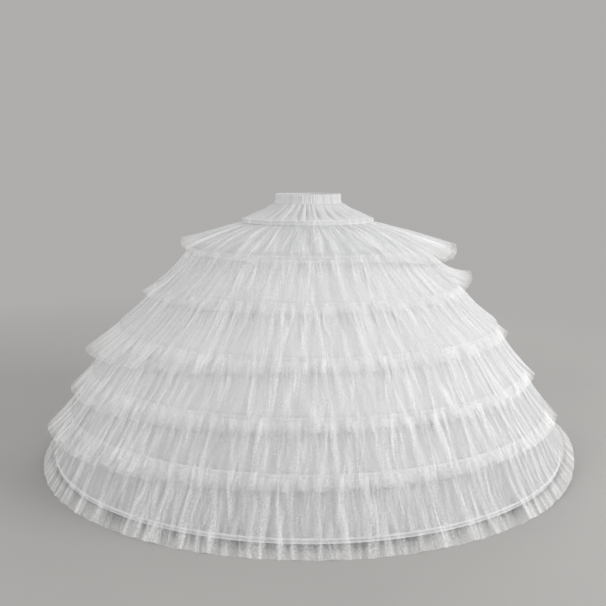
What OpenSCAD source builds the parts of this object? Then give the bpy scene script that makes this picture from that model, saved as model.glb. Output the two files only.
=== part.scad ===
// Hooped crinoline petticoat: an elastic waist, a gathered yoke, a tiered bell underskirt
// held out by six flat steel hoops in sewn casings, and six gathered net frills.
// Millimetres. The hem stands on z = 0 and the waist is on the z axis.

/* [Waistband] */
// inside diameter of the waistband at rest
waist_d = 190; // [160:1:260]
// height of the waistband
waistband_h = 30; // [24:1:50]
// thickness of the waistband cloth
waistband_t = 1.5; // [1.2:0.1:2.5]
// height of the elastic inside the waistband
elastic_h = 18; // [10:1:20]
// thickness of the elastic
elastic_t = 2; // [1.5:0.1:3]

/* [Yoke] */
// diameter of the seam where the yoke meets the underskirt
yoke_d = 406; // [340:1:460]
// drop of the yoke from the waistband to the top of the underskirt
yoke_h = 46; // [30:1:80]
// thickness of the yoke cloth
yoke_t = 1.6; // [1.4:0.1:2]
// depth of the gathers in the yoke
yoke_gather = 9; // [4:0.5:14]
// share of the gathers that stands out from the straight run from waist to seam
yoke_proud = 0.2; // [0:0.05:0.5]
// share of the gathers that is left at the seam
yoke_ease = 0.2; // [0:0.05:0.4]
// height of the yoke's upper edge inside the waistband
yoke_tuck = 6; // [4:0.5:8]
// number of gathers round the yoke
yoke_folds = 32; // [24:4:48]

/* [Hoops] */
// diameter of the underskirt at hoop 1, the smallest
hoop_1_d = 740; // [660:1:820]
// diameter of the underskirt at hoop 2
hoop_2_d = 936; // [840:1:1030]
// diameter of the underskirt at hoop 3
hoop_3_d = 1170; // [1060:1:1280]
// diameter of the underskirt at hoop 4
hoop_4_d = 1336; // [1220:1:1440]
// diameter of the underskirt at hoop 5
hoop_5_d = 1470; // [1360:1:1570]
// diameter of the underskirt at hoop 6, the hem hoop
hoop_6_d = 1566; // [1440:1:1680]
// drop from the yoke seam to hoop 1
drop_1 = 80; // [60:1:110]
// drop from hoop 1 to hoop 2
drop_2 = 112; // [90:1:140]
// drop from hoop 2 to hoop 3
drop_3 = 118; // [90:1:150]
// drop from hoop 3 to hoop 4
drop_4 = 128; // [100:1:160]
// drop from hoop 4 to hoop 5
drop_5 = 116; // [90:1:150]
// drop from hoop 5 to hoop 6
drop_6 = 118; // [90:1:150]
// height of hoop 6 above the floor
hem_h = 42; // [36:1:70]
// width of the flat steel
steel_w = 7; // [5:0.5:8]
// thickness of the flat steel
steel_t = 1.6; // [1.5:0.1:2]
// length of the sleeve that joins the two ends of a hoop
joiner_l = 44; // [30:1:60]
// wall of the sleeve
joiner_t = 0.8; // [0.6:0.1:1]
// gap left between the two ends of a hoop inside its sleeve
hoop_end_gap = 3; // [1:0.5:8]

/* [Underskirt] */
// thickness of the underskirt cloth
lining_t = 1.6; // [1.4:0.1:2]
// thickness of the tape that makes the hoop casings
casing_t = 1.5; // [1.2:0.1:2]
// flat seam edge of a casing, above and below its tunnel
casing_edge = 3; // [2:0.5:5]
// cloth left flat above and below a casing
band_edge = 1.8; // [1.6:0.1:4]
// upright seam edge at the top of a tier of the underskirt
seam_edge = 3; // [2:0.5:6]
// length of the hem below the last casing
hem_turn = 9; // [7:1:12]
// thickness of the hem binding
binding_t = 1.5; // [1.2:0.1:2]

/* [Frills] */
// cut length of frill 1, the top one
frill_1_l = 230; // [200:1:260]
// cut length of frill 2
frill_2_l = 188; // [165:1:215]
// cut length of frill 3
frill_3_l = 224; // [190:1:250]
// cut length of frill 4
frill_4_l = 191; // [170:1:220]
// cut length of frill 5
frill_5_l = 172; // [150:1:200]
// thickness that stands for the layers of net
net_t = 2.4; // [1.6:0.1:3]
// how far the frill folds stand clear of the underskirt at the hem
frill_lift = 18; // [16:1:24]
// how much further frill 1 stands up at its middle
frill_1_puff = 14; // [0:1:20]
// depth of the gathers under a heading tape
head_depth = 2; // [1:0.5:3]
// depth of the folds at the frill hems
fold_depth = 15; // [8:1:20]
// spacing of the folds round the frill hems
fold_pitch = 56; // [54:1:80]
// height of the tape that heads each frill
tape_h = 9; // [6:1:9]
// thickness of the heading tape
tape_t = 2; // [1.4:0.1:3]

/* [Fit] */
// gap between layers that are sewn together
sew_gap = 0.2; // [0.1:0.05:0.3]
// play of a piece that slides in a tunnel or sleeve
slide_gap = 0.2; // [0.1:0.05:0.4]

/* [Hidden] */
$fn = 96;
frills = 6;
// the middle of a frill: its place down the frill, and its room off the underskirt and fold depth
// as shares of the lift and fold depth at the hem
frill_mid = 0.5;
mid_lift = 0.1;
mid_depth = 0.6;
// the middle of the yoke: its place between waist and seam
yoke_mid = 0.55;
// how far a fold strays round the ring, and how high the valleys and ridges stand, in shares of a fold
fold_wander = 0.3;
valley_rise = 0.09;
ridge_rise = 0.76;
ridge_spread = 0.2;
// room between an edge and what it stays clear of, and how far a cut passes the edge it opens
edge_room = 1;
drops = [drop_1, drop_2, drop_3, drop_4, drop_5, drop_6];
function sum_from(v, i) = i >= len(v) ? 0 : v[i] + sum_from(v, i + 1);
// ring 0 is the yoke seam, rings 1 to 6 are the hoops
ring_r = [yoke_d, hoop_1_d, hoop_2_d, hoop_3_d, hoop_4_d, hoop_5_d, hoop_6_d] / 2;
ring_z = [for (i = [0:frills]) hem_h + sum_from(drops, i)];
frill_l = [frill_1_l, frill_2_l, frill_3_l, frill_4_l, frill_5_l];
waist_r = waist_d / 2;
pocket_t = elastic_t + 2 * slide_gap;
waistband_w = pocket_t + 2 * waistband_t;
// stack inside a hoop casing, measured inward from the underskirt
joiner_w = steel_w + 2 * (joiner_t + slide_gap);
joiner_d = steel_t + 2 * (joiner_t + slide_gap);
tunnel_d = joiner_d + 2 * slide_gap;
tunnel_h = joiner_w + 2 * slide_gap;
steel_in = sew_gap + joiner_t + 2 * slide_gap;
// height of the flat band of underskirt that a casing is sewn to
band_h = tunnel_h + 2 * (casing_t + casing_edge + band_edge);
band_top = ring_z[0] + band_h / 2;
waist_z = band_top + yoke_h;

function unit(v) = v / norm(v);
function outward(u) = [-u.y, u.x];
function flip(v) = [for (i = [len(v) - 1:-1:0]) v[i]];
// a point of a path moved inward by t, mitred where the path bends
function inset(path, i, t) =
    let (a = i > 0 ? outward(unit(path[i] - path[i - 1])) : [1, 0],
         b = i < len(path) - 1 ? outward(unit(path[i + 1] - path[i])) : [1, 0],
         m = unit(a + b))
    path[i] - m * t / (m * a);
// an even spread of values from -1 to 1 that never repeats along a row of folds
function uneven(k, seed) = sin(k * 137.508 + seed * 61.8);

// angle and height of each column of folds: even columns are valleys, odd ones ridges
function fold_angle(k, folds, seed) = (k + fold_wander * uneven(k, seed)) * 180 / folds;
function fold_rise(k, folds, seed) =
    k % 2 == 0 ? valley_rise * (1 + uneven(k + 40, seed))
               : k % (folds / 2) == 1 ? 1 : ridge_rise + ridge_spread * uneven(2 * k + 7, seed);

// a ring of gathered cloth through rows of [point, direction, lift, depth]
module gathered(rows, t, folds, seed) {
    n = 2 * folds;
    m = len(rows);
    function at(side, j, k) =
        let (p = rows[j][0] + rows[j][1] * (rows[j][2] + rows[j][3] * fold_rise(k, folds, seed) + side * t),
             a = fold_angle(k, folds, seed))
        [p.x * cos(a), p.x * sin(a), p.y];
    function id(side, j, k) = (side * m + j) * n + k % n;
    function quad(a, b, c, d) = [[a, b, c], [a, c, d]];
    points = [for (side = [0, 1], j = [0:m - 1], k = [0:n - 1]) at(side, j, k)];
    faces = [for (k = [0:n - 1]) each concat(
        [for (j = [0:m - 2]) each concat(
            quad(id(1, j, k), id(1, j, k + 1), id(1, j + 1, k + 1), id(1, j + 1, k)),
            quad(id(0, j, k), id(0, j + 1, k), id(0, j + 1, k + 1), id(0, j, k + 1)))],
        quad(id(0, 0, k), id(0, 0, k + 1), id(1, 0, k + 1), id(1, 0, k)),
        quad(id(1, m - 1, k), id(1, m - 1, k + 1), id(0, m - 1, k + 1), id(0, m - 1, k)))];
    polyhedron(points, faces, convexity = 10);
}

// folded strip, open below, that holds the elastic and the top edge of the yoke
module waistband() {
    fold_r = waistband_w / 2;
    color("white") rotate_extrude() difference() {
        union() {
            translate([waist_r, waist_z]) square([waistband_w, waistband_h - fold_r]);
            translate([waist_r + fold_r, waist_z + waistband_h - fold_r]) circle(fold_r);
        }
        translate([waist_r + waistband_t, waist_z - edge_room])
            square([pocket_t, waistband_h - fold_r + edge_room]);
    }
}

module waist_elastic() {
    color("ivory") translate([0, 0, waist_z + waistband_h - waistband_w / 2 - slide_gap - elastic_h])
        rotate_extrude() translate([waist_r + waistband_t + slide_gap, 0]) square([elastic_t, elastic_h]);
}

// gathered top of the skirt: its upper edge is sewn between the leaves of the waistband
module yoke() {
    sewn_r = waist_r + waistband_t + (pocket_t - yoke_t) / 2;
    sewn_z = waist_z + waistband_h - waistband_w / 2 - 3 * slide_gap - elastic_h;
    foot = [ring_r[0] - lining_t, band_top + sew_gap];
    slope = outward(unit(foot - [sewn_r, waist_z]));
    under = [sewn_r, waist_z - edge_room];
    color("snow") gathered([
        [[sewn_r, min(sewn_z, waist_z + yoke_tuck)], [1, 0], 0, 0],
        [under, [1, 0], 0, 0],
        [under * (1 - yoke_mid) + foot * yoke_mid, slope, yoke_gather * (yoke_proud - 1), yoke_gather],
        [foot, [1, 0], 0, yoke_gather * yoke_ease]], yoke_t, yoke_folds, 9);
}

// outline of a tier of the underskirt, from the seam below one hoop to the flat band at the next
function tier_path(i) =
    let (first = i == 1,
         seam = ring_z[i - 1] - band_h / 2,
         head = first ? band_top : seam - sew_gap)
    [[ring_r[i - 1], head],
     [ring_r[i - 1], first ? seam : head - seam_edge],
     [ring_r[i], ring_z[i] + band_h / 2],
     [ring_r[i], ring_z[i] - band_h / 2 - (i == frills ? hem_turn : 0)]];
// how far a straight run from a to b stands out from a line along u, at a distance down that line
function stand_out(a, b, u, down) =
    let (n = outward(u), share = (down - a * u) / ((b - a) * u))
    a * n + (b - a) * n * share;

// tier of the bell-shaped underskirt
module underskirt_tier(i) {
    path = tier_path(i);
    lining = [for (k = [0:len(path) - 1]) inset(path, k, lining_t)];
    color("whitesmoke") rotate_extrude() polygon(concat(path, flip(lining)));
}

// tape folded round the lower edge of the underskirt
module hem_binding() {
    edge = ring_z[frills] - band_h / 2 - hem_turn;
    leg = hem_turn - edge_room;
    fold = sew_gap + binding_t;
    wrap = lining_t + 2 * fold;
    color("white") rotate_extrude() translate([ring_r[frills] - lining_t - fold, edge - fold]) difference() {
        square([wrap, leg + fold]);
        translate([binding_t, binding_t]) square([wrap - 2 * binding_t, leg + sew_gap + edge_room]);
    }
}

// flat steel bent into a ring, its two ends inside the joiner at the back
module hoop(i) {
    r = ring_r[i] - lining_t - steel_in - steel_t;
    gap = hoop_end_gap / r * 180 / PI;
    color("silver") translate([0, 0, ring_z[i] - steel_w / 2]) rotate(90 + gap / 2)
        rotate_extrude(angle = 360 - gap) translate([r, 0]) square([steel_t, steel_w]);
}

// sleeve crimped over both ends of a hoop
module hoop_joiner(i) {
    r = ring_r[i] - lining_t - steel_in - steel_t;
    turn = joiner_l / r * 180 / PI;
    color("gray") translate([0, 0, ring_z[i]]) rotate(90 - turn / 2)
        rotate_extrude(angle = turn) translate([r + steel_t / 2, 0]) difference() {
            square([joiner_d, joiner_w], center = true);
            square([steel_t + 2 * slide_gap, steel_w + 2 * slide_gap], center = true);
        }
}

// tape sewn inside the underskirt along both edges, with a tunnel for the hoop
module hoop_casing(i) {
    a = tunnel_h / 2;
    b = a + casing_t;
    c = b + casing_edge;
    d = tunnel_d + casing_t;
    outside = [
        [0, c], [-casing_t, c], [-casing_t, b], [-d, b],
        [-d, -b], [-casing_t, -b], [-casing_t, -c], [0, -c]];
    tunnel = [[0, -a], [-tunnel_d, -a], [-tunnel_d, a], [0, a]];
    color("white") translate([0, 0, ring_z[i]]) rotate_extrude()
        translate([ring_r[i] - lining_t - sew_gap, 0]) polygon(concat(outside, tunnel));
}

// flat tape over the gathered top edge of a frill
module heading_tape(i) {
    color("white") translate([0, 0, ring_z[i - 1]]) rotate_extrude()
        translate([ring_r[i - 1] + sew_gap, 0]) square([tape_t, tape_h]);
}

// gathered net that hangs from its heading past the next hoop, the last one to the floor
module frill(i) {
    top = [ring_r[i - 1] + sew_gap, ring_z[i - 1] - sew_gap];
    // where the bell turns inward a frill hangs straight down from its heading
    next = [max(ring_r[i], top.x), ring_z[i]];
    u = unit(next - top);
    span = norm(next - top);
    last = i == frills;
    // past its hoop a frill keeps its own slope, or takes the next one where the bell turns outward
    v = last ? u : unit([max(ring_r[i + 1], next.x), ring_z[i + 1]] - next);
    w = v * outward(u) > 0 ? v : u;
    reach = last ? -top.y / u.y : frill_l[i - 1];
    hem = last || reach < span ? top + u * reach : next + w * (reach - span);
    down = min(reach * frill_mid, span);
    tier = tier_path(i);
    clear = max(0, stand_out(tier[1] - top, tier[2] - top, u, down));
    puff = i == 1 ? frill_1_puff : 0;
    folds = 4 * round(2 * PI * (hem.x + frill_lift) / fold_pitch / 4);
    color("snow") gathered([
        [top, [1, 0], 0, head_depth],
        [top + u * down, outward(u), clear + frill_lift * mid_lift + puff, fold_depth * mid_depth],
        [hem, last ? [1, 0] : outward(w), frill_lift, fold_depth]], net_t, folds, i);
}

waistband();
waist_elastic();
yoke();
hem_binding();
for (i = [1:frills]) {
    underskirt_tier(i);
    hoop(i);
    hoop_joiner(i);
    hoop_casing(i);
    heading_tape(i);
    frill(i);
}
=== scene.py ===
import math

import bpy
import numpy as np
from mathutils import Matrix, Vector


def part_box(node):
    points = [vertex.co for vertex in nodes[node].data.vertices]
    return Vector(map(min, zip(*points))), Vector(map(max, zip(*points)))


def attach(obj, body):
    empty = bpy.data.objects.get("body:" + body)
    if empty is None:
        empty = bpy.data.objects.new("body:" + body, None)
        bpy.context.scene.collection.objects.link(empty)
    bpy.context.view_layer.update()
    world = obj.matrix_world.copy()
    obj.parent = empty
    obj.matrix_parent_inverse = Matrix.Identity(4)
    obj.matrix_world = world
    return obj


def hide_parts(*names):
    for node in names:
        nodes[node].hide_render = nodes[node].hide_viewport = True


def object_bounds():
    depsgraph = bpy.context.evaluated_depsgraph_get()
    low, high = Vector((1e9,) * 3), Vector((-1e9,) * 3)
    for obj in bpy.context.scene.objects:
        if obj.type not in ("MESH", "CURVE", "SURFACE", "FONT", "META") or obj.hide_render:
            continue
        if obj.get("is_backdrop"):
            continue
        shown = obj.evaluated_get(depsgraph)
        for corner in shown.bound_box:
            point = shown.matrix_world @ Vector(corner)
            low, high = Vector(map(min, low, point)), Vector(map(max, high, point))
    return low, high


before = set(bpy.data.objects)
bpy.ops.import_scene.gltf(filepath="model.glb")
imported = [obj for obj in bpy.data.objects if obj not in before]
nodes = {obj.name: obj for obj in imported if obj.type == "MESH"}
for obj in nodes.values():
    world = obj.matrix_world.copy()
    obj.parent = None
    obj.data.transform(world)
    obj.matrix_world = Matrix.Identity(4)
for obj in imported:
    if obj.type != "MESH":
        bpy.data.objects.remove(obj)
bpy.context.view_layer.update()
tiers = range(1, 7)
fullTurn = 2 * math.pi
seamAngle = math.pi / 2  # every ring of cloth is joined at the back, +Y
scene = bpy.context.scene
scene.view_settings.view_transform = "Standard"
scene.cycles.transparent_max_bounces = 32  # many layers of net lie one behind the other
print("solids loaded:", len(nodes))


# shader maths

class Wire:  # a socket that can stand in an expression
    def __init__(self, paint, socket):
        self.paint, self.socket = paint, socket

    def __add__(self, other):
        return self.paint.maths("ADD", self, other)

    def __sub__(self, other):
        return self.paint.maths("SUBTRACT", self, other)

    def __rsub__(self, other):
        return self.paint.maths("SUBTRACT", other, self)

    def __mul__(self, other):
        return self.paint.maths("MULTIPLY", self, other)

    def __pow__(self, other):
        return self.paint.maths("POWER", self, other)

    __radd__ = __add__

    def sine(self):
        return self.paint.maths("SINE", self)

    def size(self):
        return self.paint.maths("ABSOLUTE", self)

    def clip(self):
        return self.paint.maths("MINIMUM", self.paint.maths("MAXIMUM", self, 0.0), 1.0)

    def between(self, low, high):  # 0 below low, 1 above high, smooth from one to the other
        inputs = {"Value": self, "From Min": low, "From Max": high}
        return self.paint.node("ShaderNodeMapRange", {"interpolation_type": "SMOOTHSTEP"}, inputs)


class Paint:  # a material's nodes
    def __init__(self, name):
        self.material = bpy.data.materials.new(name)
        self.material.use_nodes = True
        self.tree = self.material.node_tree
        self.tree.nodes.clear()

    def node(self, kind, settings=None, inputs=None, output=0):
        made = self.tree.nodes.new(kind)
        for name, value in (settings or {}).items():
            setattr(made, name, value)
        for name, value in (inputs or {}).items():
            if isinstance(value, Wire):
                self.tree.links.new(value.socket, made.inputs[name])
            else:
                made.inputs[name].default_value = value
        return Wire(self, made.outputs[output]) if made.outputs else None

    def maths(self, operation, *values):
        return self.node("ShaderNodeMath", {"operation": operation}, dict(enumerate(values)))

    def split(self, vector):
        first = self.node("ShaderNodeSeparateXYZ", None, {0: vector})
        return [Wire(self, out) for out in first.socket.node.outputs]

    def join(self, x, y, z=0.0):
        return self.node("ShaderNodeCombineXYZ", None, {0: x, 1: y, 2: z})

    def clothPlace(self):  # metres round the cloth and down it
        return self.split(self.node("ShaderNodeUVMap", {"uv_map": "cloth"}))[:2]

    def objectPlace(self):
        return self.node("ShaderNodeTexCoord", output="Object")

    def attribute(self, name):  # a number that each point of the mesh carries
        return self.node("ShaderNodeAttribute", {"attribute_name": name}, output="Fac")

    def noise(self, vector, scale, detail):
        return self.node("ShaderNodeTexNoise", None, {"Vector": vector, "Scale": scale, "Detail": detail})

    def clothNoise(self, u, v, scales, detail, seed=0.0):  # scales: to a metre, round the cloth and down it
        around, down = scales
        return self.noise(self.join(u * around, v * down, seed), 1.0, detail)

    def mix(self, factor, first, second):
        factorIn, firstIn, secondIn, colourOut = 0, 6, 7, 2  # a Mix node's sockets for colours
        inputs = {factorIn: factor, firstIn: first, secondIn: second}
        return self.node("ShaderNodeMix", {"data_type": "RGBA"}, inputs, colourOut)

    def bump(self, height, strength, distance):
        inputs = {"Height": height, "Strength": strength, "Distance": distance}
        return self.node("ShaderNodeBump", None, inputs)

    def finish(self, inputs):
        bsdf = self.node("ShaderNodeBsdfPrincipled", None, inputs)
        self.node("ShaderNodeOutputMaterial", None, {"Surface": bsdf})
        return self.material


# finishes

netLook = {
    "white": (0.96, 0.96, 0.96, 1), "grey": (0.90, 0.902, 0.908, 1),
    "mesh": 520.0, "meshRandom": 0.45,  # holes to a metre
    "threadEdge": (0.05, 0.30), "threadMean": 0.42,
    "swayScale": (3.0, 7.0), "sway": 0.05,  # creases don't run quite straight
    "fineScale": (26.0, 2.2), "fineEdge": (0.84, 0.98),
    "finerScale": (95.0, 5.0), "finerEdge": (0.82, 0.98),
    "cloudScale": (250.0, 250.0), "patchScale": (5.0, 6.0),
    "headStart": 0.008, "headLength": 0.045,  # how far the dense gathers reach down from the heading
    "hemStart": (0.7, 1.0),  # the part of the way down in which the cover becomes the hem's
    "crease": 0.15, "streak": 0.16, "cloud": 0.42, "patch": 0.10, "thread": 0.28,  # changes of the cover
    "bump": (0.15, 0.002),
}


def netCloth(name, look, covers, seed):
    # covers: share of the light that flat net stops at its head, middle and hem
    paint = Paint(name)
    u, v = paint.clothPlace()
    head, middle, hem = covers
    across = u + paint.clothNoise(u, v, look["swayScale"], 2.0, seed) * look["sway"]
    streak = paint.clothNoise(across, v, look["fineScale"], 3.0, seed)
    narrow = paint.clothNoise(across, v, look["finerScale"], 2.0, seed + 3.0)
    cloud = paint.clothNoise(u, v, look["cloudScale"], 2.0, seed)
    patch = paint.clothNoise(u, v, look["patchScale"], 2.0, seed + 5.0)
    cells = {"Vector": paint.join(u, v, seed), "Scale": look["mesh"], "Randomness": look["meshRandom"]}
    toThread = paint.node("ShaderNodeTexVoronoi", {"feature": "DISTANCE_TO_EDGE"}, cells)
    thread = 1.0 - toThread.between(*look["threadEdge"])
    fine = 1.0 - (streak * 2.0 - 1.0).size()  # thin lines where the noise crosses its middle
    finer = 1.0 - (narrow * 2.0 - 1.0).size()
    crease = fine.between(*look["fineEdge"]) * 0.6 + finer.between(*look["finerEdge"]) * 0.4
    flat = middle + (1.0 - v.between(look["headStart"], look["headLength"])) * (head - middle)
    flat = flat + paint.attribute("down").between(*look["hemStart"]) * (hem - middle)
    flat = flat + crease * look["crease"] + (streak - 0.5) * look["streak"]
    flat = flat + (cloud - 0.5) * look["cloud"] + (patch - 0.5) * look["patch"]
    flat = flat + (thread - look["threadMean"]) * look["thread"]
    layers = paint.attribute("layers")
    alpha = 1.0 - (1.0 - flat.clip()) ** layers  # where a pleat lies over, one sees through several layers
    colour = paint.mix((crease + cloud * 0.5).clip(), look["grey"], look["white"])
    return paint.finish({"Base Color": colour, "Roughness": 0.75 - crease * 0.2, "Specular IOR Level": 0.3,
                         "Normal": paint.bump(narrow * 0.6 + thread * 0.4, *look["bump"]),
                         "Alpha": alpha.clip()})


liningLook = {
    "white": (0.69, 0.695, 0.70, 1), "grey": (0.49, 0.495, 0.505, 1),
    "weave": 1400.0, "ribs": 520.0,
    "slubScale": (30.0, 260.0), "pullScale": (70.0, 5.0),
    "cloudScale": (6.0, 9.0), "grainScale": (300.0, 300.0),
    "bump": (0.35, 0.0015),
}
topLook = {**liningLook, "white": (0.74, 0.74, 0.745, 1), "grey": (0.60, 0.60, 0.61, 1)}


def wovenCloth(name, look, rib=0.0):
    paint = Paint(name)
    u, v = paint.clothPlace()
    weave = (u * look["weave"]).sine() * (v * look["weave"]).sine()
    slub = paint.clothNoise(u, v, look["slubScale"], 3.0)
    cloud = paint.clothNoise(u, v, look["cloudScale"], 3.0)
    pull = paint.clothNoise(u, v, look["pullScale"], 2.0)
    grain = paint.clothNoise(u, v, look["grainScale"], 1.0)
    pale = cloud * 0.3 + pull * 0.2 + slub * 0.2 + grain * 1.8 - 0.73  # about a half on the whole
    colour = paint.mix(pale.clip(), look["grey"], look["white"])
    height = weave * 0.25 + slub * 0.35 + pull * 0.5 + (u * look["ribs"]).sine() * rib
    return paint.finish({"Base Color": colour, "Roughness": 0.8 + slub * 0.12, "Specular IOR Level": 0.25,
                         "Normal": paint.bump(height, *look["bump"]), "Sheen Weight": 0.15})


tapeLook = {
    "white": (0.95, 0.95, 0.955, 1), "grey": (0.80, 0.805, 0.815, 1),
    "twill": 2600.0, "wearScale": (40.0, 120.0),
    "stitch": 0.003, "stitchGap": (-0.2, 0.1), "stitchEdge": (0.0003, 0.0007),
    "stitchRow": 0.38,  # from the middle of the tape, as a share of its width
    "bump": (0.4, 0.001),
}
headingLook = {**tapeLook, "white": (0.74, 0.74, 0.745, 1), "grey": (0.64, 0.642, 0.65, 1)}
hemLook = {**tapeLook, "sunkShade": (0.56, 0.562, 0.57, 1), "sunkEdge": 0.001}  # painted shade in the recess between its two rolled edges


def twillTape(name, look, width, sunkShade=None):
    paint = Paint(name)
    u, v = paint.clothPlace()
    twill = ((u + v) * look["twill"]).sine()
    wear = paint.clothNoise(u, v, look["wearScale"], 3.0)
    dash = (u * (fullTurn / look["stitch"])).sine().between(*look["stitchGap"])
    fromRow = (v - width * 0.5).size() - width * look["stitchRow"]
    stitch = dash * (1.0 - fromRow.size().between(*look["stitchEdge"]))
    colour = paint.mix((wear * 0.9 + stitch * 0.5).clip(), look["grey"], look["white"])
    # painted shade: the recess between the rolled edges is coloured darker
    if sunkShade:
        start, end = sunkShade
        edge = look["sunkEdge"]
        inset = v.between(start, start + edge) * (1.0 - v.between(end - edge, end))
        colour = paint.mix(inset, colour, look["sunkShade"])
    height = twill * 0.25 + wear * 0.3 + stitch * 0.8
    return paint.finish({"Base Color": colour, "Roughness": 0.78 + wear * 0.12, "Specular IOR Level": 0.3,
                         "Normal": paint.bump(height, *look["bump"])})


steelLook = {
    "pale": (0.62, 0.63, 0.64, 1), "dull": (0.42, 0.43, 0.44, 1), "roughness": 0.32,
    "brushAlong": 30.0, "brushAcross": 2400.0, "spots": 90.0, "bump": (0.15, 0.0005),
}
sleeveLook = {**steelLook, "pale": (0.48, 0.48, 0.49, 1), "roughness": 0.45}


def springSteel(name, look):
    paint = Paint(name)
    place = paint.objectPlace()
    x, y, z = paint.split(place)
    along, across = look["brushAlong"], look["brushAcross"]
    brushed = paint.noise(paint.join(x * along, y * along, z * across), 1.0, 3.0)
    spots = paint.noise(place, look["spots"], 4.0)
    colour = paint.mix((brushed * 0.6 + spots * 0.5).clip(), look["dull"], look["pale"])
    return paint.finish({"Base Color": colour, "Metallic": 1.0, "Normal": paint.bump(brushed, *look["bump"]),
                         "Roughness": look["roughness"] + spots * 0.25})


elasticLook = {
    "pale": (0.85, 0.84, 0.80, 1), "cord": (0.70, 0.69, 0.65, 1),
    "cords": 9.0, "knit": 420.0, "bump": (0.5, 0.0008),
}


def ribbedElastic(name, look, low, high):
    paint = Paint(name)
    x, y, z = paint.split(paint.objectPlace())
    ribs = ((z - low) * (fullTurn * look["cords"] / (high - low))).sine()
    knit = (paint.maths("ARCTAN2", y, x) * look["knit"]).sine()
    colour = paint.mix((ribs * 0.4 + knit * 0.2 + 0.5).clip(), look["cord"], look["pale"])
    return paint.finish({"Base Color": colour, "Roughness": 0.8 - ribs * 0.05,
                         "Normal": paint.bump(ribs * 0.7 + knit * 0.3, *look["bump"])})


# rings of cloth

def uneven(angle, count, seed):  # waves of about that many to a turn that close on themselves, from -1 to 1
    parts = [(1.0, 1.0), (0.63, 0.7), (1.41, 0.55), (0.29, 0.5)]
    waves = [size * np.sin(round(count * rate) * angle + seed * (2.3 + rate)) for rate, size in parts]
    return sum(waves) / sum(size for _, size in parts)


def gathers(angle, count, seed):  # the same with one wave of uneven pitch and height
    phase = round(count) * angle
    for rate, swing in [(0.31, 1.3), (0.13, 2.1), (0.057, 2.6)]:
        phase = phase + swing * np.sin(max(round(count * rate), 1) * angle + seed * (3.7 + 11 * rate))
    return (0.62 + 0.38 * np.sin(max(round(count * 0.23), 1) * angle + seed * 5.1)) * np.sin(phase)


def smoothStep(low, high, value):
    share = np.clip((value - low) / (high - low), 0, 1)
    return share * share * (3 - 2 * share)


def betweenEdges(down):  # 0 at both edges of the cloth, 1 halfway
    return np.sin(math.pi * np.clip(down, 0, 1)) ** 0.5


def turned(radius, height, angle):
    return np.column_stack([radius * np.cos(angle), radius * np.sin(angle), height])


def turnedBy(angle):  # the same angle, from minus half a turn to half a turn
    return (angle + math.pi) % fullTurn - math.pi


def travelledAlong(points):  # the way to each point from the first
    return np.concatenate([[0], np.cumsum(np.linalg.norm(np.diff(points, axis=0), axis=1))])


def wrapGrid(name, grid, surface, length, layers=None, spread=lambda down: down):
    # a flat grid of (columns, rows) wrapped round the waist's axis: surface(angle, down) gives the place
    # of each point, and spread(down) says how the rows lie
    columns, rows = grid
    bpy.ops.object.select_all(action="DESELECT")
    bpy.ops.mesh.primitive_grid_add(x_subdivisions=columns, y_subdivisions=rows, size=2)
    ring = bpy.context.object
    ring.name = ring.data.name = name
    mesh = ring.data
    flat = np.empty(len(mesh.vertices) * 3)
    mesh.vertices.foreach_get("co", flat)
    angle = seamAngle + (flat[0::3] + 1) * math.pi
    down = spread((1 - flat[1::3]) / 2)
    mesh.vertices.foreach_set("co", surface(angle, down).ravel())
    middleRow = surface(seamAngle + np.linspace(0, fullTurn, columns + 1), np.full(columns + 1, 0.5))
    travelled = travelledAlong(middleRow)
    layer = mesh.uv_layers[0]
    layer.name = "cloth"
    unwrapped = np.empty(len(mesh.loops) * 2)
    layer.data.foreach_get("uv", unwrapped)
    unwrapped[0::2] = travelled[np.rint(unwrapped[0::2] * columns).astype(int)]
    unwrapped[1::2] = spread(1 - unwrapped[1::2]) * length
    layer.data.foreach_set("uv", unwrapped)
    if layers:
        mesh.attributes.new("layers", "FLOAT", "POINT").data.foreach_set("value", layers(angle, down))
        mesh.attributes.new("down", "FLOAT", "POINT").data.foreach_set("value", down)
    bpy.ops.object.mode_set(mode="EDIT")
    bpy.ops.mesh.select_all(action="SELECT")
    bpy.ops.mesh.remove_doubles(threshold=1e-5)  # closes the ring
    bpy.ops.object.mode_set(mode="OBJECT")
    bpy.ops.object.shade_smooth()
    return ring, travelled[-1]


def thicken(piece, thickness):
    bpy.ops.object.select_all(action="DESELECT")
    piece.select_set(True)
    bpy.context.view_layer.objects.active = piece
    wall = piece.modifiers.new("wall", "SOLIDIFY")
    wall.thickness, wall.offset = thickness, 0.0
    bpy.ops.object.modifier_apply(modifier=wall.name)


def dress(piece, material, slot, *replaced):
    piece.data.materials.clear()
    piece.data.materials.append(material)
    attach(piece, "root")
    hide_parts(*replaced)


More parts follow.
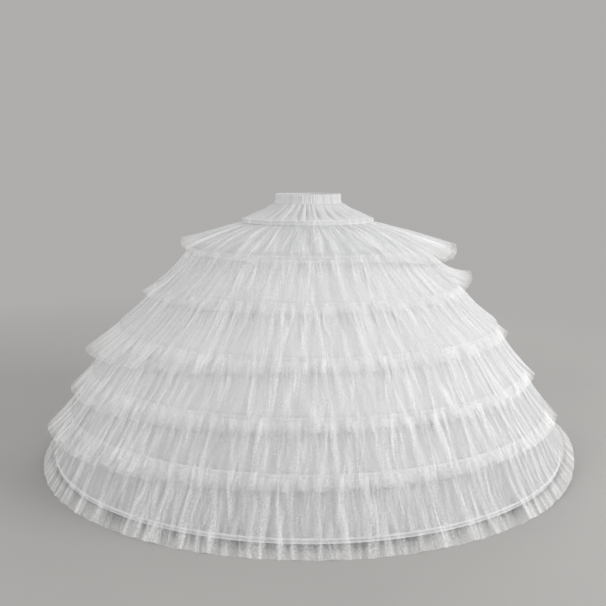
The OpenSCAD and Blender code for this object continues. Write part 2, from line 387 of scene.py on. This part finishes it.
def foldColumns(node, rows):
    # a gathered solid's columns, in order of angle: the cloth's middle in each row, as radius and height
    columnGap = 0.002  # points of one column are closer in angle than this
    mesh = nodes[node].data
    spots = np.empty(len(mesh.vertices) * 3)
    mesh.vertices.foreach_get("co", spots)
    spots = np.unique(spots.reshape(-1, 3).round(6), axis=0)
    angle = np.arctan2(spots[:, 1], spots[:, 0]) % fullTurn
    order = np.argsort(angle)
    spots, angle = spots[order], angle[order]
    groups = np.split(np.arange(len(angle)), np.flatnonzero(np.diff(angle) > columnGap) + 1)
    if angle[0] + fullTurn - angle[-1] < columnGap:  # a column that lies on angle 0
        groups[0] = np.concatenate([groups.pop(), groups[0]])
    turn, middles = [], []
    for group in groups:
        column = spots[group]
        turn.append(math.atan2(column[:, 1].mean(), column[:, 0].mean()) % fullTurn)
        column = column[np.argsort(-column[:, 2], kind="stable")]
        pairs = np.array_split(column, rows)
        middles.append([(np.hypot(pair[:, 0], pair[:, 1]).mean(), pair[:, 2].mean()) for pair in pairs])
    order = np.argsort(turn)
    return np.array(turn)[order], np.array(middles)[order]


def roundFolds(columns, angle, sharpness, broad=1.0):
    # the rows' places at any angle, with rounded ridges and valleys; broad above 1 widens the ridges
    turn, rows = columns
    angle = angle % fullTurn
    after = np.searchsorted(turn, angle) % len(turn)
    before = (after - 1) % len(turn)
    gap = (turn[after] - turn[before]) % fullTurn
    share = ((angle - turn[before]) % fullTurn) / gap
    share = sharpness * share + (1 - sharpness) * share * share * (3 - 2 * share)
    reach = rows[:, :, 0].sum(axis=1)
    share = np.where(reach[after] > reach[before], 1 - (1 - share) ** broad, share ** broad)[:, None, None]
    return rows[before] * (1 - share) + rows[after] * share


def outwards(slope):  # unit normals of a profile that runs down and out, as radius and height
    normal = np.column_stack([-slope[:, 1], slope[:, 0]])
    return normal / np.linalg.norm(normal, axis=1)[:, None]


def pathBand(name, path, grid, thickness, pucker=0.0, count=60, seed=0, only=None):
    # path is the profile from its top edge, as radius and height; only(down) says where it puckers
    path = np.array(path)
    steps = travelledAlong(path)
    length = steps[-1]
    reach = 0.001  # the slope is taken over this far up and down

    def along(distance):
        return np.column_stack([np.interp(distance, steps, path[:, k]) for k in (0, 1)])

    def surface(angle, down):
        distance = down * length
        slope = along(np.minimum(distance + reach, length)) - along(np.maximum(distance - reach, 0))
        amount = pucker * (only(down) if only else 1.0) * (0.5 + 0.5 * gathers(angle, count, seed))
        at = along(distance) + outwards(slope) * amount[:, None]
        return turned(at[:, 0], at[:, 1], angle)

    piece, width = wrapGrid(name, grid, surface, length)
    thicken(piece, thickness)
    return piece, width, length


def arc(centre, radius, start, end, count):  # points of a rounded bend, angles in degrees
    turn = np.radians(np.linspace(start, end, count))
    return [(centre[0] + radius * math.cos(t), centre[1] + radius * math.sin(t)) for t in turn]


def ofTier(settings, i):  # the settings with that tier's entry from each list
    return {name: value[i - 1] if isinstance(value, list) else value for name, value in settings.items()}


# tapes: a casing inside each hoop's band, a heading tape over each frill's gathers, a binding round the hem

tapeCut = {
    "cloth": 0.0009,
    "solidWall": 0.0022,  # heading tape and its seam in the solids
    "casingGrid": (180, 14), "headingGrid": (420, 4), "hemGrid": (400, 24),
    "sewnAt": 0.0025,     # middle of the casing's tape, inside the band's outer face
    "tunnel": 0.0040, "flange": 0.0035, "tunnelBend": 0.0015, "tunnelEdge": 0.002,
    "hemWall": 0.00075, "hemGap": 0.0035, "hemRoll": 0.0014, "hemRise": 0.002,
    "hemStep": 0.003, "hemFoot": 0.0007, "hemSunk": 0.002,
}
ringRadius = [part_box(f"heading_tape_{i}")[1].x - tapeCut["solidWall"] for i in tiers]
ringRadius.append(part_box("underskirt_tier_6")[1].x)
casings, headings = {}, {}

for i in tiers:
    low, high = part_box(f"hoop_casing_{i}")
    middle, half = (low.z + high.z) / 2, (high.z - low.z) / 2
    bend, edge = tapeCut["tunnelBend"], tapeCut["tunnelEdge"]
    wall = ringRadius[i] - tapeCut["sewnAt"]
    inside = wall - tapeCut["tunnel"] + bend
    rise = half - tapeCut["flange"]
    path = [(wall, high.z), (wall, middle + rise)]
    path += arc((inside, middle + rise - edge), bend, 90, 180, 5)
    path += arc((inside, middle - rise + edge), bend, 180, 270, 5)
    path += [(wall, middle - rise), (wall, low.z)]
    casings[i], _, length = pathBand(f"casing_{i}", path, tapeCut["casingGrid"], tapeCut["cloth"])
    dress(casings[i], twillTape(f"casing tape {i}", tapeLook, length), "tape", f"hoop_casing_{i}")

    low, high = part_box(f"heading_tape_{i}")
    middle = high.x - tapeCut["solidWall"] / 2
    path = [(middle, high.z), (middle, low.z)]
    headings[i], _, length = pathBand(f"heading_{i}", path, tapeCut["headingGrid"], tapeCut["cloth"])
    dress(headings[i], twillTape(f"heading tape {i}", headingLook, length), "tape", f"heading_tape_{i}")

low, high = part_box("hem_binding")
bend, roll, rise = tapeCut["hemGap"] / 2, tapeCut["hemRoll"], tapeCut["hemRise"]
middle = high.x - tapeCut["hemWall"] - bend
path = arc((middle + bend, high.z + rise), roll, 180, 0, 7)
path += [(middle + bend + roll, high.z), (middle + bend, high.z - tapeCut["hemStep"])]
path += arc((middle, low.z + bend + tapeCut["hemFoot"]), bend + roll, 360, 180, 9)
path += [(middle - bend, high.z)]
hemTape, _, length = pathBand("hem_tape", path, tapeCut["hemGrid"], tapeCut["cloth"])
edge = math.pi * roll + rise
# the span of the painted shade between the rolled edges
face = (edge + tapeCut["hemSunk"], edge + high.z - low.z - bend - tapeCut["hemFoot"])
dress(hemTape, twillTape("hem tape", hemLook, length, face), "tape", "hem_binding")
print("tapes done")


# underskirt: six tiers of woven lining, each stretched from one hoop's band to the next

tierCut = {
    "grid": (380, 14), "cloth": 0.0009,
    "middle": 0.0008,  # from the outside of the lining to the middle of its thickness in the solids
    "pucker": -0.0012, "puckers": 170, "seamEdge": 0.003,
    "paintedShade": [1.0, 1.0, 0.97, 0.90, 0.78, 0.65],  # painted shade: the lower the tier, the darker its lining is painted, standing in for the lower tiers getting less light
}
liningPath = []  # all tiers' profile, as height and radius

for i in tiers:
    cut = ofTier(tierCut, i)
    low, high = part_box(f"underskirt_tier_{i}")
    casingLow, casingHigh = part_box(f"hoop_casing_{i}")
    bandMiddle = (casingLow.z + casingHigh.z) / 2
    bandHalf = bandMiddle - low.z
    if i == tiers[-1]:
        bandHalf = (casingHigh.z - casingLow.z) / 2
    top, foot = ringRadius[i - 1] - cut["middle"], ringRadius[i] - cut["middle"]
    knee = 2 * bandHalf if i == tiers[0] else cut["seamEdge"]
    path = [(top, high.z), (top, high.z - knee), (foot, bandMiddle + bandHalf), (foot, low.z)]
    liningPath += [(height, radius) for radius, height in path]
    piece, width, length = pathBand(f"underskirt_{i}", path, cut["grid"], cut["cloth"],
                                    cut["pucker"], cut["puckers"], i, betweenEdges)
    # painted shade: the lining's tones are darkened by this tier's factor
    shadedTones = {tone: (*(cut["paintedShade"] * c for c in liningLook[tone][:3]), 1) for tone in ("white", "grey")}
    dress(piece, wovenCloth(f"woven lining {i}", {**liningLook, **shadedTones}), "lining", f"underskirt_tier_{i}")
    [casings[i]] + ([hemTape] if i == tiers[-1] else [])
liningHeight, liningRadius = np.array(sorted(liningPath)).T
print("underskirt done")


# net frills: an outer and an inner layer, gathered as one, over the folds of each solid

frillCut = {  # a list has an entry for each tier
    "outerSpacing": 0.0024, "innerSpacing": 0.0036, "rows": 18,
    "sharpness": 0.35,  # 0 is round folds, 1 is creased ones
    "depth": 0.4,       # share of the solids' folds, the rest goes into the pleats
    "drift": 0.7, "driftWaves": 0.21, "driftPivot": 0.35,  # how far folds stray sideways, in folds
    "settle": 0.004,    # how far the middle sinks towards the lining between the pleats
    "pleatRate": 6,     # the pleats have grown after a sixth of the way down

    "ruffleUp": [0.012, 0.007, 0.007, 0.007, 0.007, 0.007],  # net that stands up over the heading tape
    "ruffleOver": 0.004, "ruffleIn": 0.7,  # and leans in above that
    "ruffleRows": 3, "rufflePuff": 0.0008, "rufflePitch": 0.015, "ruffleTips": 0.03, "ruffleRagged": 0.16,

    "gather": 0.0022, "gatherPitch": 0.012,  # the small gathers under the tape
    "gatherRate": 9, "gatherLeft": 0.2,      # how soon they begin, and what is left of them at the hem
    "flutter": 0.0018, "flutterPitch": 0.045,  # waves of the free edge
    "hemWave": 0.0022, "hemWaves": 0.8,      # unevenness of the cut edge, in waves to a fold

    "innerInset": 0.0040, "insetRate": 4,    # the inner layer lies this far inside the outer one
    "innerLength": 0.95,
    "lastInnerLength": 0.755,  # the lowest frill has one layer where it meets the floor
    "onLining": 0.0026, "innerOnLining": 0.0014,  # as close as each layer may lie
    "onHeading": 0.0024, "headingSpan": (0.7, 0.85),  # the hem lies on the next frill's heading
    "press": 0.001, "pressRate": 8, "floorGap": 0.0004,

    "crease": 0.008, "creaseWidth": 0.20,  # packed flat, it keeps a crease at each side
    "creaseLeft": [0.0, 0.28, 0.28, 0.28, 0.28, 0.28],  # how far in front of the side that is
    "creaseRight": [0.0, 0.0, 0.28, 0.28, 0.28, 0.28],
    "calm": 0.8, "calmSpan": (0.1, 0.5),   # the folds are lower near it
    "tuck": 0.014, "tuckWidth": 0.28, "tuckSpan": (-1.1, -0.1),  # behind it the net falls in and rises
    "riseLeft": [0.0, 0.016, 0.040, 0.035, 0.050, 0.0],
    "riseRight": [0.0, 0.004, 0.026, 0.022, 0.030, 0.0],

    "frontHug": 0.016,  # at the front it lies closer
    "frontHang": [-0.005, -0.008, -0.019, -0.009, -0.010, 0.0],
    "frontSheer": 0.6, "sheerSpan": (0.75, 1),  # and its hem is thinner
    "hangLeft": [-0.036, 0.000, 0.060, 0.036, 0.036, -0.020],  # how much longer it hangs at its sides
    "hangRight": [0.034, -0.028, -0.028, -0.018, -0.014, -0.036],
    "sideSpan": [6, 6, 1.5, 1.5, 1.5, 12],  # the higher, the narrower the part that does so
    "liftLeft": [0.004, 0.000, -0.006, -0.004, 0.004, 0.006],  # how much further its hem stands out there
    "liftRight": [0.018, 0.032, -0.008, 0.000, 0.000, 0.024],
    "droopRight": [0.026, 0.0, 0.0, 0.0, 0.0, 0.0],  # and how far it sinks in front of that
    "droopStart": (0.02, 0.25), "droopEnd": (0.5, 1.3),

    "headCover": [0.18, 0.36, 0.37, 0.37, 0.32, 0.25],  # share of the light that one layer stops
    "middleCover": [0.21, 0.25, 0.22, 0.16, 0.095, 0.085],
    "hemCover": 0.10, "innerHemCover": 0.10,
    "lastHemCover": 0.20, "lastHemStart": (0.77, 0.87),
}

pleatCut = {
    "pitch": 0.024, "stray": 0.48, "height": (0.0004, 0.0028), "width": (0.0040, 0.0100),
    "crisp": 0.6, "soft": 1.5, "edge": 2.5,  # a pleat that lies over has one sharp edge and one soft one
    "bend": 0.022, "pivot": 0.3, "wave": 0.004, "waves": 6, "lean": 0.8,
    "before": 0.1, "after": 0.15,  # it begins and ends in a slope
    "layers": [1.4, 1.5, 1.7, 2.2, 2.6, 1.9],  # that each adds
    "least": 0.35,  # share of those that the weakest adds
    "hemFrom": 0.8, "hemLoss": 0.45,  # fewer near the hem
}


def layPleats(around, seed):  # uneven pleats that begin and end anywhere between heading and hem
    cut, draw = pleatCut, np.random.RandomState(round(seed * 10))
    count = round(around / cut["pitch"])
    pleats = []
    for k in range(count):
        strength = draw.uniform() ** 2
        pleats.append({
            "spot": (k + draw.uniform(-cut["stray"], cut["stray"])) * fullTurn / count,
            "strength": strength,
            "height": np.interp(strength, (0, 1), cut["height"]),
            "width": np.interp(draw.uniform(), (0, 1), cut["width"]),
            "start": draw.choice([-0.2, draw.uniform(0.05, 0.6)], p=[0.6, 0.4]),  # most begin at the top
            "end": draw.choice([1.3, draw.uniform(0.45, 0.95)], p=[0.65, 0.35]),  # and reach the hem
            "bend": draw.uniform(-cut["bend"], cut["bend"]),
            "phase": draw.uniform(0, fullTurn),
            "side": draw.choice([-1, 1]),
        })
    return pleats


def pleatField(pleats, angle, down, radius):
    # the height of the pleats at each point, how far they lie over to the side, how many layers they add
    cut = pleatCut
    height, side, layers = np.zeros(len(angle)), np.zeros(len(angle)), np.zeros(len(angle))
    for pleat in pleats:
        path = pleat["bend"] * (down - cut["pivot"])
        path = path + cut["wave"] * np.sin(cut["waves"] * down + pleat["phase"])
        away = turnedBy(angle - pleat["spot"]) * radius - path
        reach = pleat["width"] * np.where(away * pleat["side"] > 0, cut["crisp"], cut["soft"])
        near = np.flatnonzero(np.abs(away) < cut["edge"] * reach)
        start, end = pleat["start"], pleat["end"]
        along = smoothStep(start - cut["before"], start + cut["after"], down[near])
        along = along * (1 - smoothStep(end - cut["after"], end + cut["before"], down[near]))
        ridge = np.exp(-(away[near] / reach[near]) ** 2) * along
        height[near] += pleat["height"] * ridge
        side[near] += pleat["height"] * ridge * pleat["side"] * cut["lean"]
        layers[near] += ridge * (cut["least"] + (1 - cut["least"]) * pleat["strength"])
    layers = layers * (1 - cut["hemLoss"] * smoothStep(cut["hemFrom"], 1, down))
    return height, side, layers


def grown(down, rate):  # 0 at the heading, 1 from there on where down is 1 / rate
    return np.minimum(down * rate, 1)


def frontness(angle):  # 1 at the front, 0 from the sides to the back
    return np.maximum(-np.sin(angle), 0) ** 2


def frillSheet(i, inner, material):
    cut = ofTier(frillCut, i)
    aboveFloor = i < tiers[-1]
    columns = foldColumns(f"frill_{i}", 3)
    folds = len(columns[0]) // 2
    mean = columns[1].mean(axis=0)
    around = fullTurn * mean[1, 0]
    share = 1.0
    if inner:
        share = cut["innerLength"] if aboveFloor else cut["lastInnerLength"]
    seed = i * 1.7 + inner * 0.6
    pleats = layPleats(around, seed)
    ruffle = 0.0 if inner else cut["ruffleUp"] + cut["ruffleOver"]
    hang = share * math.hypot(*(mean[2] - mean[0]))
    length = ruffle + hang

    def downProfile(rows, down):  # a smooth curve through heading, middle and hem, and its slope
        down = down[:, None]
        head, middle, hem = rows[..., 0, :], rows[..., 1, :], rows[..., 2, :]
        at = 2 * (down - 0.5) * (down - 1) * head - 4 * down * (down - 1) * middle
        at = at + 2 * down * (down - 0.5) * hem
        return at, (4 * down - 3) * head + (4 - 8 * down) * middle + (4 * down - 1) * hem

    def belowHeading(down):  # share of the way from heading to hem, below 0 in the ruffle
        return share * (down * length - ruffle) / hang

    def surface(angle, down):
        above = np.clip(-belowHeading(down) * hang / share / max(ruffle, 1e-6), 0, 1)
        down = np.maximum(belowHeading(down), 0)
        onLeft = np.cos(angle) < 0
        left = np.maximum(-np.cos(angle), 0) ** cut["sideSpan"]
        right = np.maximum(np.cos(angle), 0) ** cut["sideSpan"]
        front = frontness(angle)
        ahead = np.where(onLeft, turnedBy(angle - math.pi), -turnedBy(angle))  # in front of the nearer side
        turn = np.where(onLeft, cut["creaseLeft"], cut["creaseRight"])
        fromCrease = np.abs(ahead - turn)
        behind = np.clip((turn - ahead) / cut["tuckWidth"], 0, 1) * smoothStep(*cut["tuckSpan"], ahead)

        drift = cut["drift"] * fullTurn / folds * uneven(angle, folds * cut["driftWaves"], seed)
        drift = drift * (down - cut["driftPivot"])
        folded, _ = downProfile(roundFolds(columns, angle + drift, cut["sharpness"]), down)
        plain, slope = downProfile(mean, down)
        normal = outwards(slope)
        fold = ((folded - plain) * normal).sum(axis=1) * cut["depth"]
        gather = gathers(angle + drift, around / cut["gatherPitch"], seed) * cut["gather"]
        gather = gather * (cut["gatherLeft"] + (1 - cut["gatherLeft"]) * (1 - down) ** 3)
        gather = gather * grown(down, cut["gatherRate"])
        flutter = gathers(angle + drift, around / cut["flutterPitch"], seed + 2) * cut["flutter"]
        flutter = flutter * down ** 1.5
        pleat, lean, _ = pleatField(pleats, angle, down, mean[1, 0])
        pleat = pleat * grown(down, cut["pleatRate"])
        calm = 1 - cut["calm"] * (1 - smoothStep(*cut["calmSpan"], fromCrease))
        crease = cut["crease"] * np.clip(1 - fromCrease / cut["creaseWidth"], 0, 1) ** 1.5
        crease = crease * down ** 2 * aboveFloor
        close = (cut["tuck"] * behind + cut["frontHug"] * front) * down ** 2 * aboveFloor
        out = (fold + flutter + pleat) * calm + gather + crease - close
        out = out - inner * cut["innerInset"] * grown(down, cut["insetRate"])
        out = out - cut["settle"] * np.sin(math.pi * down)
        out = out + (cut["liftLeft"] * left + cut["liftRight"] * right) * down ** 2
        at = plain + normal * out[:, None]

        drop = uneven(angle, folds * cut["hemWaves"], seed + 4) * cut["hemWave"] * down ** 4
        rise = np.where(onLeft, cut["riseLeft"], cut["riseRight"]) * behind
        hung = cut["hangLeft"] * left + cut["hangRight"] * right + cut["frontHang"] * front
        drop = drop + (hung - rise) * down ** 2
        at = at + slope / np.linalg.norm(slope, axis=1)[:, None] * drop[:, None]
        droop = cut["droopRight"] * smoothStep(*cut["droopStart"], ahead)
        droop = droop * (1 - smoothStep(*cut["droopEnd"], ahead))
        at[:, 1] -= droop * down ** 2 * ~onLeft

        wall = np.interp(at[:, 1], liningHeight, liningRadius)
        wall = wall + cut["innerOnLining" if inner else "onLining"]
        wall = wall + cut["onHeading"] * smoothStep(*cut["headingSpan"], down)
        pressed = wall + cut["press"] * np.logaddexp(0, (at[:, 0] - wall) / cut["press"])
        at[:, 0] += (pressed - at[:, 0]) * grown(down, cut["pressRate"])

        puff = (0.5 + 0.5 * gathers(angle, around / cut["rufflePitch"], seed + 8)) * cut["rufflePuff"]
        tip = 1 + cut["ruffleRagged"] * uneven(angle, around / cut["ruffleTips"], seed + 9)
        upright = np.minimum(above * ruffle, cut["ruffleUp"])
        over = above * ruffle - upright
        at[:, 0] += above * puff - cut["ruffleIn"] * over * tip
        at[:, 1] += (upright + math.sqrt(1 - cut["ruffleIn"] ** 2) * over) * tip
        angle = angle + lean * grown(down, cut["pleatRate"]) / at[:, 0]
        return turned(at[:, 0], np.maximum(at[:, 1], cut["floorGap"]), angle)

    def layers(angle, down):
        over = pleatField(pleats, angle, np.maximum(belowHeading(down), 0), mean[1, 0])[2]
        sheer = cut["frontSheer"] * frontness(angle) * smoothStep(*cut["sheerSpan"], down) * aboveFloor
        return (1 + pleatCut["layers"][i - 1] * over) * (1 - sheer)

    def spread(down):  # a few rows of the grid for the ruffle, the others for what hangs
        return down if inner else np.interp(down, (0, cut["ruffleRows"] / rows, 1), (0, ruffle / length, 1))

    rows = round(cut["rows"] * share) + (0 if inner else cut["ruffleRows"])
    spacing = cut["innerSpacing"] if inner else cut["outerSpacing"]
    name = f"net_{i}_{'inner' if inner else 'outer'}"
    piece, width = wrapGrid(name, (round(around / spacing), rows), surface, length, layers, spread)
    dress(piece, material, "net", f"frill_{i}")


for i in tiers:
    cut = ofTier(frillCut, i)
    head, middle, hem, innerHem = (cut[f"{part}Cover"] for part in ("head", "middle", "hem", "innerHem"))
    outerLook = netLook
    if i == tiers[-1]:
        hem = cut["lastHemCover"]
        outerLook = {**netLook, "hemStart": cut["lastHemStart"]}
    seed = i * 1.3
    frillSheet(i, False, netCloth(f"net {i} outer layer", outerLook, (head, middle, hem), seed))
    frillSheet(i, True, netCloth(f"net {i} inner layer", netLook, (head, middle, innerHem), seed + 0.7))
print("frills done")


# gathered yoke

yokeCut = {
    "perFold": 12, "rows": 30, "cloth": 0.0009,
    "sharpness": 0.1, "broad": 2.0,
    "groove": 0.0048, "grooves": 0.6, "ridgePower": 0.6, "ridgeMean": 0.7,  # broad ridges, narrow grooves
    "grooveTop": 0.1, "grooveLoss": 0.6,
    "pinch": 0.0012, "pinches": 2.0, "pinchTop": 1.5,
    "swell": 0.005, "swellTop": 0.06, "swellEnd": 0.4,  # the cloth swells out from under the band
}


def yokeSheet(material):
    cut = yokeCut
    columns = foldColumns("yoke", 4)
    folds = len(columns[0]) // 2
    steps = travelledAlong(columns[1].mean(axis=0))
    length = steps[-1]
    stations = steps / length

    def surface(angle, down):
        rows = roundFolds(columns, angle, cut["sharpness"], cut["broad"])
        at = np.empty((len(down), 2))
        slope = np.empty((len(down), 2))
        for j in range(len(stations) - 1):
            here = (down >= stations[j] - 1e-9) & (down <= stations[j + 1] + 1e-9)
            t = ((down[here] - stations[j]) / (stations[j + 1] - stations[j]))[:, None]
            at[here] = rows[here, j] * (1 - t) + rows[here, j + 1] * t
            slope[here] = rows[here, j + 1] - rows[here, j]
        free = np.clip((down - stations[1]) / (1 - stations[1]), 0, 1)  # share of the way below the band
        pinch = gathers(angle, folds * cut["pinches"], 5.0) * cut["pinch"]
        out = pinch * betweenEdges(free) * (cut["pinchTop"] - free)
        ridge = np.abs(gathers(angle, folds * cut["grooves"], 3.0)) ** cut["ridgePower"]
        groove = cut["groove"] * (ridge - cut["ridgeMean"]) * smoothStep(0, cut["grooveTop"], free)
        out = out + groove * (1 - cut["grooveLoss"] * free)
        swell = smoothStep(0, cut["swellTop"], free)
        swell = swell * (1 - smoothStep(cut["swellTop"], cut["swellEnd"], free))
        out = out + cut["swell"] * swell
        at = at + outwards(slope) * out[:, None]
        return turned(at[:, 0], at[:, 1], angle)

    piece, width = wrapGrid("gathered_yoke", (folds * cut["perFold"], cut["rows"]), surface, length)
    thicken(piece, cut["cloth"])
    dress(piece, material, "lining", "yoke")


yokeSheet(wovenCloth("woven yoke", topLook))
print("yoke done")


# waistband: a folded strip with the gathers that its elastic makes

bandCut = {
    "grid": (640, 22), "cloth": 0.0009, "rib": 0.35,
    "inset": 0.0006,  # middle of the cloth, inside the solid's faces
    "gather": 0.0024, "gathers": 82, "gatherFrom": 0.42, "gatherRate": 8,  # on the outer face only
    "flare": 0.0045, "flares": [(0, 0.013), (0.3, 0.006), (1, -0.001)],  # share of it, height over the edge
}


def onOuterFace(down):
    return np.clip((down - bandCut["gatherFrom"]) * bandCut["gatherRate"], 0, 1)


low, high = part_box("waistband")
inset = bandCut["inset"]
outside = high.x - inset
inside = min(v.co.xy.length for v in nodes["waistband"].data.vertices) + inset
fold = (outside - inside) / 2
path = [(inside, low.z)] + arc((inside + fold, high.z - fold - inset), fold, 180, 0, 9)
path += [(outside + share * bandCut["flare"], low.z + height) for share, height in bandCut["flares"]]
piece, width, length = pathBand("gathered_waistband", path, bandCut["grid"], bandCut["cloth"],
                                bandCut["gather"], bandCut["gathers"], 2, onOuterFace)
dress(piece, wovenCloth("woven band", topLook, bandCut["rib"]), "band", "waistband")
print("waistband done")


# metal and elastic keep their solids

steel = springSteel("spring steel", steelLook)
sleeve = springSteel("crimped sleeve", sleeveLook)
low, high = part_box("waist_elastic")
finishes = {"waist_elastic": ribbedElastic("ribbed elastic", elasticLook, low.z, high.z)}
for i in tiers:
    finishes[f"hoop_{i}"] = steel
    finishes[f"hoop_joiner_{i}"] = sleeve
for name, finish in finishes.items():
    nodes[name].data.materials.clear()
    nodes[name].data.materials.append(finish)
print("metal and elastic done")


# floor, background and light

studio = {
    "floor": (0.46, 0.45, 0.435, 1), "back": (0.43, 0.42, 0.41, 1), "mottle": 2.0,
    "radius": 40, "corners": 96, "fade": (1.3, 3.6),  # where the floor turns into the background
    "world": 0.57,
    "lamps": [  # name, place, width, power
        ("key", (3.9, -1.7, 1.9), 3.0, 120),
        ("fill", (-2.9, -3.0, 1.7), 3.0, 56),
        ("rim", (1.0, 3.4, 2.6), 2.4, 34),
    ],
    "aim": (0, 0, 0.35),
}

bpy.ops.object.select_all(action="DESELECT")
bpy.ops.mesh.primitive_circle_add(vertices=studio["corners"], radius=studio["radius"], fill_type="NGON")
floor = bpy.context.object
floor.name = "floor"
paint = Paint("studio floor")
place = paint.objectPlace()
x, y, _ = paint.split(place)
away = ((x * x + y * y) ** 0.5).between(*studio["fade"])
ground = paint.mix(paint.noise(place, studio["mottle"], 3.0), studio["floor"], studio["back"])
ground = paint.node("ShaderNodeBsdfDiffuse", None, {"Color": ground})
glow = paint.node("ShaderNodeEmission", None, {"Color": studio["back"]})
rays = paint.node("ShaderNodeLightPath").socket.node.outputs
kinds = ("Camera", "Glossy", "Transmission")
direct, glossy, through = (Wire(paint, rays[f"Is {kind} Ray"]) for kind in kinds)
seen = (direct + glossy + through).clip()
fade = paint.node("ShaderNodeMixShader", None, {0: away * seen, 1: ground, 2: glow})
paint.node("ShaderNodeOutputMaterial", None, {"Surface": fade})
floor.data.materials.append(paint.material)
floor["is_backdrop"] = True

world = bpy.data.worlds.new("studio")
scene.world = world
world.use_nodes = True
tree = world.node_tree
tree.nodes.clear()
rays = tree.nodes.new("ShaderNodeLightPath")
shown = tree.nodes.new("ShaderNodeBackground")
shown.inputs["Color"].default_value = studio["back"]
light = tree.nodes.new("ShaderNodeBackground")
light.inputs["Color"].default_value = (1, 1, 1, 1)
light.inputs["Strength"].default_value = studio["world"]
choose = tree.nodes.new("ShaderNodeMixShader")
tree.links.new(rays.outputs["Is Camera Ray"], choose.inputs[0])
tree.links.new(light.outputs[0], choose.inputs[1])
tree.links.new(shown.outputs[0], choose.inputs[2])
tree.links.new(choose.outputs[0], tree.nodes.new("ShaderNodeOutputWorld").inputs["Surface"])

for name, place, size, power in studio["lamps"]:
    lamp = bpy.data.lights.new(name, "AREA")
    lamp.shape, lamp.size, lamp.energy = "DISK", size, power
    stand = bpy.data.objects.new(name, lamp)
    stand.location = place
    stand.rotation_euler = (Vector(studio["aim"]) - Vector(place)).to_track_quat("-Z", "Y").to_euler()
    scene.collection.objects.link(stand)


# camera at the photograph's place, in metres and degrees

view = {"distance": 2.521, "height": 0.864, "down": 9.19, "aside": 0.357, "across": 41.36}
camera = bpy.data.cameras.new("camera")
camera.angle = math.radians(view["across"])
eye = bpy.data.objects.new("camera", camera)
eye.location = (0, -view["distance"], view["height"])
eye.rotation_euler = (math.radians(90 - view["down"]), 0, math.radians(view["aside"]))
scene.collection.objects.link(eye)
scene.camera = eye

low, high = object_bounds()
print("box", [round(v, 4) for v in (*low, *high)])
